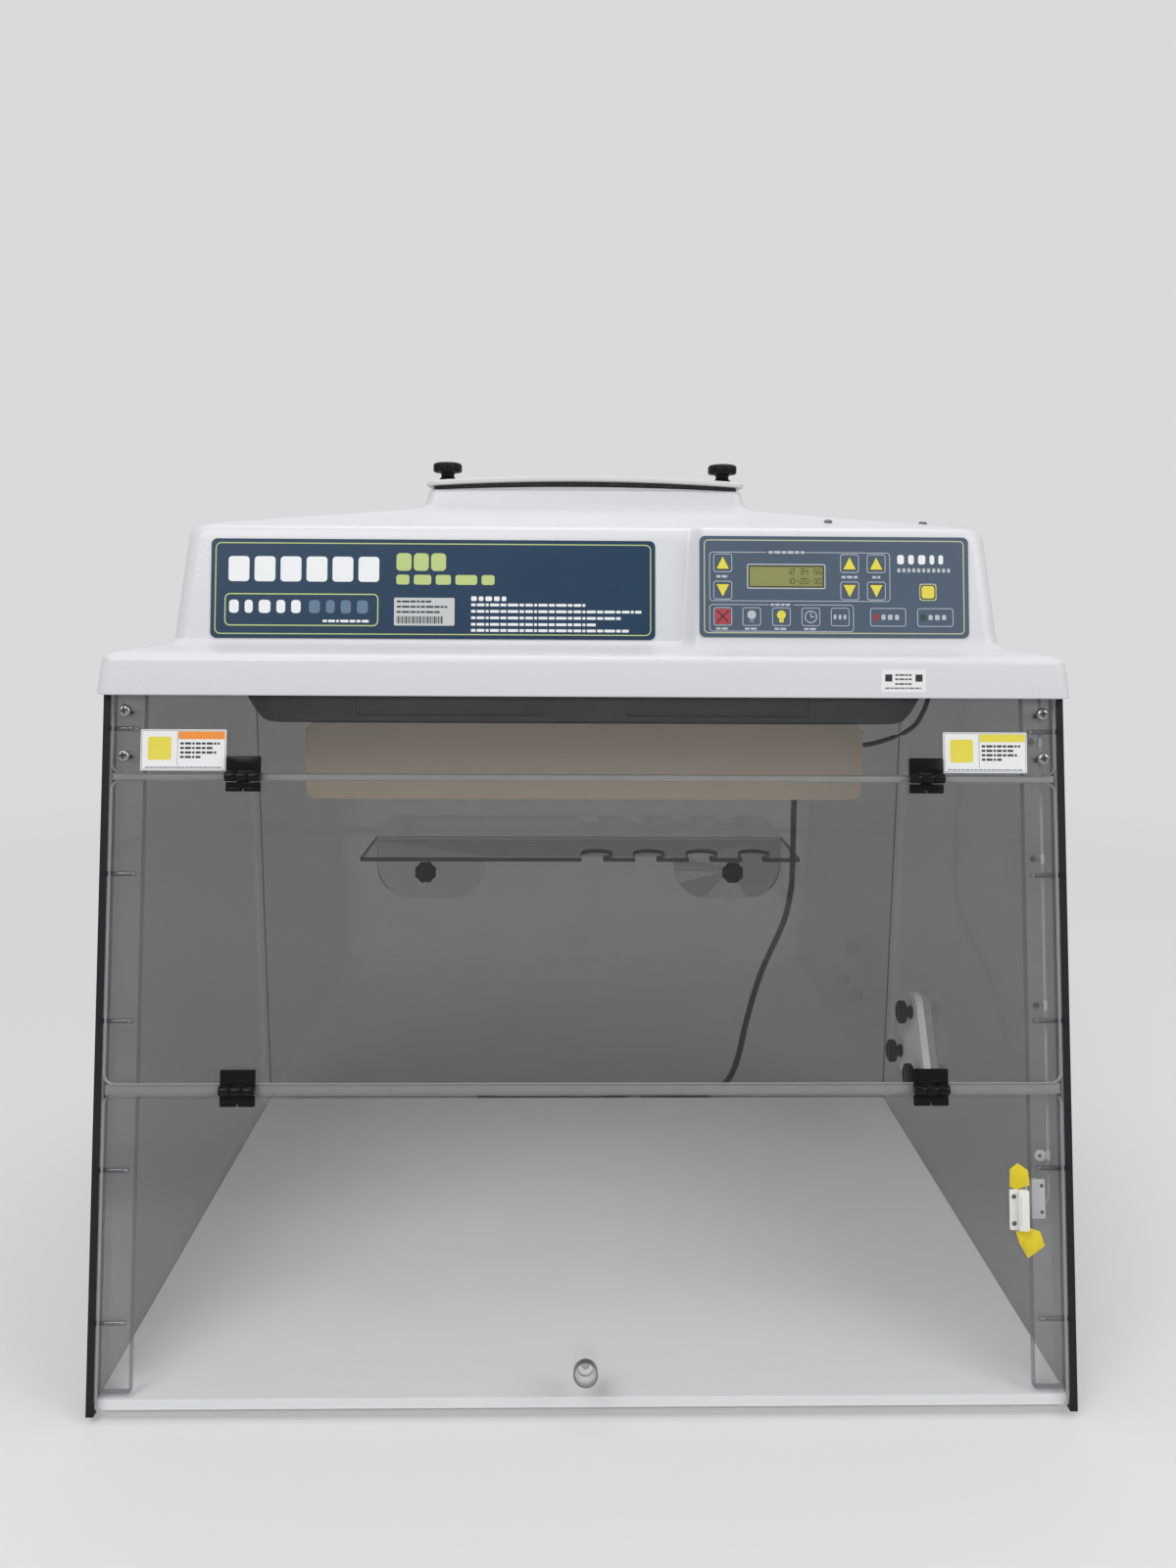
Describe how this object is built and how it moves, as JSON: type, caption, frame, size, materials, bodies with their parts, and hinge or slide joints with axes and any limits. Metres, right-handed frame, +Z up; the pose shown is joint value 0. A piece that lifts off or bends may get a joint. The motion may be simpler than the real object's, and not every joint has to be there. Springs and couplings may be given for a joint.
{
  "type": "pcr workstation",
  "caption": "Bench-top PCR work cabinet: smoked acrylic enclosure, folding clear front, pipette shelf, lamps and a moulded fan and filter head with controls.",
  "frame": {"origin": "under the middle of the object without its power cord, on the surface that its feet stand on", "axes": "+X to the right seen from the front, +Y to the back, +Z up; the folding front faces -Y"},
  "size_m": [0.825, 0.7229, 0.7902],
  "materials": {
    "white_sheet": "satin white sheet",
    "black_rubber": "matt",
    "smoked_acrylic": "polished, grey smoke tint",
    "clear_acrylic": "polished clear, frosted sawn edges",
    "stainless": "bright",
    "black_moulding": "semi-matt",
    "ivory_moulding": "matt",
    "grey_cable": "satin",
    "nylon": "satin",
    "beige_paint": "satin",
    "lamp_glass": "gloss",
    "black_cable": "satin",
    "white_moulding": "fine orange-peel texture",
    "dark_sheet": "matt",
    "grey_moulding": "matt, moulded",
    "grey_metal": "satin",
    "filter_media": "pleated paper in a frame",
    "black_foam": "open foam",
    "blue_print": "printed, satin",
    "slate_print": "printed, satin",
    "display_glass": "gloss",
    "board": "matt"
  },
  "bodies": {
    "cabinet": {"base_plate": "white_sheet", "rubber_feet": "black_rubber", "side_panel_left": "smoked_acrylic", "side_panel_right": "smoked_acrylic", "back_panel": "smoked_acrylic", "front_strips": "clear_acrylic", "side_screws": "stainless", "upper_front_panel": "clear_acrylic", "panel_screws": "stainless", "upper_hinge_fixed": "black_moulding", "upper_hinge_pins": "stainless", "interlock_sensor": "ivory_moulding", "sensor_cable": "grey_cable", "cable_clips": "nylon", "shelf": "clear_acrylic", "port_cover": "nylon", "knob_studs": "stainless", "light_housing": "beige_paint", "white_lamp": "lamp_glass", "uv_lamp": "lamp_glass", "lamp_cable": "black_cable", "head_shell": "white_moulding", "head_deck": "dark_sheet", "filter_tray": "grey_moulding", "outlet_grille": "grey_metal", "main_filter": "filter_media", "blower_frame": "grey_metal", "blower_motor": "dark_sheet", "prefilter": "black_foam", "intake_lid": "white_moulding", "name_plate": "blue_print", "control_overlay": "slate_print", "display": "display_glass", "circuit_board": "board", "power_inlet": "black_moulding", "cord_connector": "black_cable", "power_cord": "black_cable", "cord_hank": "black_cable", "hank_tie": "black_cable", "power_plug": "black_cable"},
    "upper_sash": {"upper_sash": "clear_acrylic", "upper_hinge_moving": "black_moulding", "lower_hinge_fixed": "black_moulding", "lower_hinge_pins": "stainless"},
    "lower_sash": {"lower_sash": "clear_acrylic", "lower_hinge_moving": "black_moulding", "sash_knob": "clear_acrylic", "interlock_magnet": "ivory_moulding"},
    "blower_wheel": {"blower_wheel": "grey_metal"},
    "power_switch": {"power_switch": "black_moulding"},
    "lid_knob_fl": {"lid_knob_fl": "black_moulding"},
    "lid_knob_fr": {"lid_knob_fr": "black_moulding"},
    "lid_knob_bl": {"lid_knob_bl": "black_moulding"},
    "lid_knob_br": {"lid_knob_br": "black_moulding"},
    "shelf_knob_left": {"shelf_knob_left": "black_moulding"},
    "shelf_knob_right": {"shelf_knob_right": "black_moulding"},
    "port_knob_top": {"port_knob_top": "black_moulding"},
    "port_knob_front": {"port_knob_front": "black_moulding"},
    "port_knob_rear": {"port_knob_rear": "black_moulding"}
  },
  "joints": [
    {"name": "upper_sash_hinge", "type": "hinge", "parent": "cabinet", "child": "upper_sash", "pos_m": [0, -0.19439, 0.517], "axis": [-1, 0, 0], "range_deg": [0, 90]},
    {"name": "lower_sash_hinge", "type": "hinge", "parent": "upper_sash", "child": "lower_sash", "pos_m": [0, -0.25106, 0.26345], "axis": [-1, 0, 0], "range_deg": [0, 175]},
    {"name": "blower_spin", "type": "hinge", "parent": "cabinet", "child": "blower_wheel", "pos_m": [0, 0.087, 0.66], "axis": [0, 0, 1], "continuous": true},
    {"name": "power_rocker", "type": "hinge", "parent": "cabinet", "child": "power_switch", "pos_m": [0.29, 0.3085, 0.684], "axis": [1, 0, 0], "range_deg": [0, 12]},
    {"name": "lid_knob_fl_turn", "type": "hinge", "parent": "cabinet", "child": "lid_knob_fl", "pos_m": [-0.13, -0.019, 0.78], "axis": [0, 0, 1], "continuous": true},
    {"name": "lid_knob_fr_turn", "type": "hinge", "parent": "cabinet", "child": "lid_knob_fr", "pos_m": [0.13, -0.019, 0.78], "axis": [0, 0, 1], "continuous": true},
    {"name": "lid_knob_bl_turn", "type": "hinge", "parent": "cabinet", "child": "lid_knob_bl", "pos_m": [-0.13, 0.193, 0.78], "axis": [0, 0, 1], "continuous": true},
    {"name": "lid_knob_br_turn", "type": "hinge", "parent": "cabinet", "child": "lid_knob_br", "pos_m": [0.13, 0.193, 0.78], "axis": [0, 0, 1], "continuous": true},
    {"name": "shelf_knob_left_turn", "type": "hinge", "parent": "cabinet", "child": "shelf_knob_left", "pos_m": [-0.1925, 0.29, 0.3215], "axis": [0, -1, 0], "continuous": true},
    {"name": "shelf_knob_right_turn", "type": "hinge", "parent": "cabinet", "child": "shelf_knob_right", "pos_m": [0.1925, 0.29, 0.3215], "axis": [0, -1, 0], "continuous": true},
    {"name": "port_knob_top_turn", "type": "hinge", "parent": "cabinet", "child": "port_knob_top", "pos_m": [0.385, 0.1677, 0.1808], "axis": [-1, 0, 0], "continuous": true},
    {"name": "port_knob_front_turn", "type": "hinge", "parent": "cabinet", "child": "port_knob_front", "pos_m": [0.385, 0.1273, 0.1189], "axis": [-1, 0, 0], "continuous": true},
    {"name": "port_knob_rear_turn", "type": "hinge", "parent": "cabinet", "child": "port_knob_rear", "pos_m": [0.385, 0.201, 0.1198], "axis": [-1, 0, 0], "continuous": true}
  ]
}
